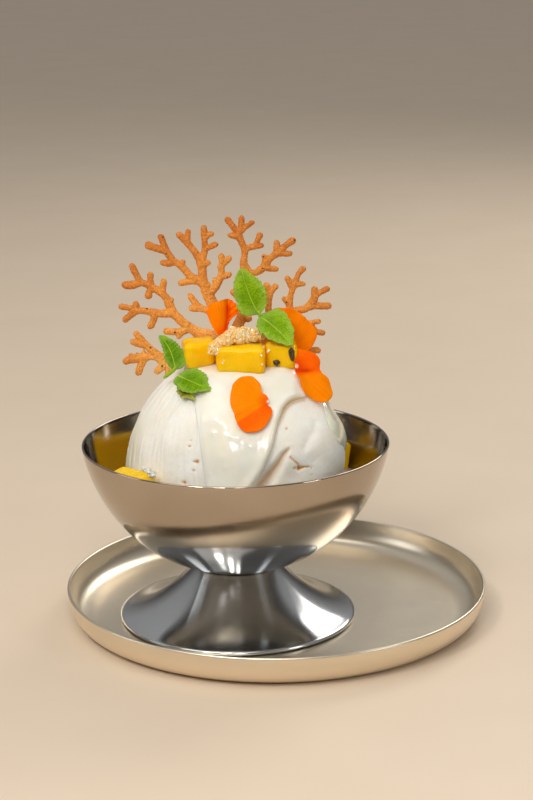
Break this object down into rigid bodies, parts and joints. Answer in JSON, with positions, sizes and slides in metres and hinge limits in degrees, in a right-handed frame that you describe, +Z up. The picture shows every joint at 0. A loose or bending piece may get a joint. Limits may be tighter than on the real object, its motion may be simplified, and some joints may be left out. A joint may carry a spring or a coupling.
{
  "type": "cup of sherbet",
  "caption": "Footed steel cup of sherbet with cream, mango, granita, a coral-shaped tuile, petals and mint, standing on its round steel plate.",
  "frame": {"origin": "centre of the plate's underside, on the surface it stands on", "axes": "+Z up, the picture's camera looks along +Y, +X to its right"},
  "size_m": [0.16, 0.16, 0.1538],
  "materials": {
    "plate_steel": "satin, warm",
    "cup_steel": "polished",
    "sherbet": "frozen, slightly ridged",
    "cream": "glossy",
    "mango": "wet",
    "granita": "icy",
    "wafer": "baked, granular",
    "petal": "velvety",
    "mint": "leaf"
  },
  "bodies": {
    "root": {"plate": "plate_steel", "cup_bowl": "cup_steel", "cup_foot": "cup_steel", "sherbet": "sherbet", "cream_sauce": "cream", "mango_top_left": "mango", "mango_top_middle": "mango", "mango_top_right": "mango", "mango_top_back_left": "mango", "mango_top_back_right": "mango", "mango_side_left": "mango", "mango_side_right": "mango", "mango_side_back_right": "mango", "mango_side_back": "mango", "mango_side_back_left": "mango", "granita": "granita", "coral_tuile": "wafer", "coral_shard": "wafer", "petal_front": "petal", "petal_folded": "petal", "petal_behind": "petal", "petal_right": "petal", "mint_sprig_top": "mint", "mint_sprig_left": "mint"}
  },
  "joints": []
}
